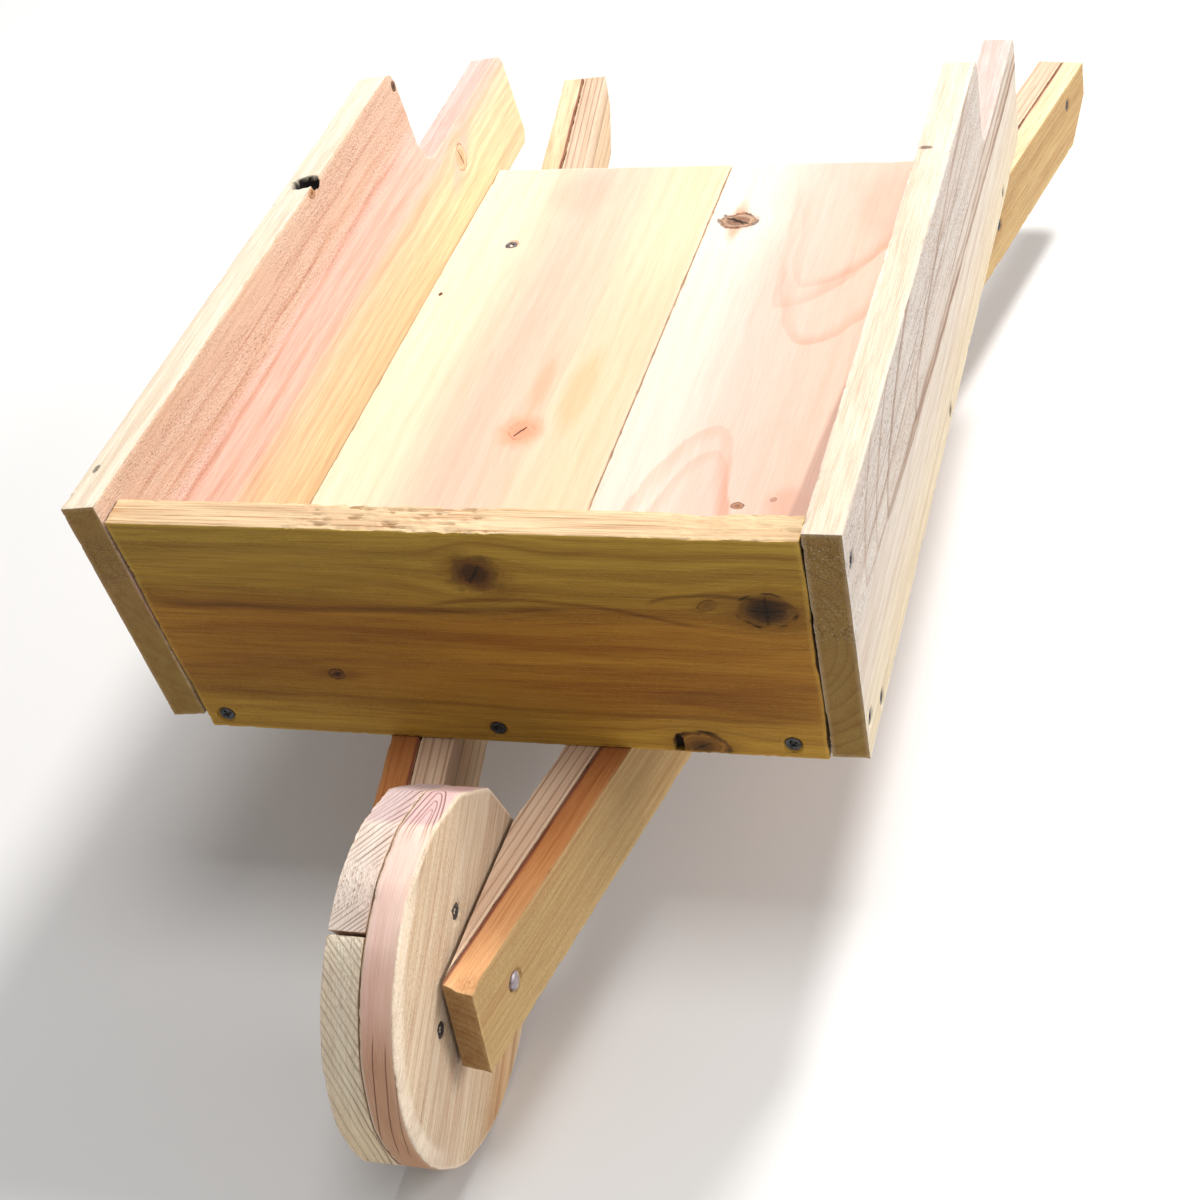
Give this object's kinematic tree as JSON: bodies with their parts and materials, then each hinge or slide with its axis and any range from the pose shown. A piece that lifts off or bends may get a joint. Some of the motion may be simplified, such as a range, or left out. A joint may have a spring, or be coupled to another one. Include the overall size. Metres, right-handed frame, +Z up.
{
  "type": "wooden wheelbarrow",
  "caption": "Small cedar wheelbarrow: open-backed board tray on two converging laminated rails, solid laminated disc wheel on a steel axle, short legs.",
  "frame": {"origin": "on the ground plane, under the middle of the overall bounding box", "axes": "+Z up, +Y from the wheel towards the handles, +X to the right of a person standing at the wheel and looking towards the handles"},
  "size_m": [0.413, 1.0582, 0.2909],
  "materials": {
    "cedar_side": "rough-sawn raw cedar, peach inside and grey-beige outside",
    "cedar_front": "raw cedar, olive-brown with dark knots",
    "cedar_floor": "raw cedar, cream to peach with pink cathedral grain",
    "cedar_rail": "raw cedar, tan faces and orange edges",
    "cedar_wheel": "raw cedar, pink end grain on the rim and tan faces",
    "axle_steel": "zinc plated",
    "screw_steel": "coated countersunk screws"
  },
  "bodies": {
    "barrow": {"left_side_board": "cedar_side", "right_side_board": "cedar_side", "front_board": "cedar_front", "floor_board_left": "cedar_floor", "floor_board_right": "cedar_floor", "rear_crosspiece": "cedar_rail", "left_rail_outer": "cedar_rail", "left_rail_inner": "cedar_rail", "right_rail_outer": "cedar_rail", "right_rail_inner": "cedar_rail", "left_leg": "cedar_rail", "right_leg": "cedar_rail", "axle": "axle_steel", "axle_washers": "axle_steel", "front_board_screws": "screw_steel", "left_side_screws": "screw_steel", "right_side_screws": "screw_steel", "floor_screws": "screw_steel", "rail_screws": "screw_steel", "leg_screws": "screw_steel"},
    "wheel": {"wheel_left_upper_board": "cedar_wheel", "wheel_left_lower_board": "cedar_wheel", "wheel_right_board": "cedar_wheel", "wheel_screws": "screw_steel"}
  },
  "joints": [
    {"name": "wheel_spin", "type": "hinge", "parent": "barrow", "child": "wheel", "pos_m": [0, -0.44037, 0.0887], "axis": [1, 0, 0], "continuous": true}
  ]
}
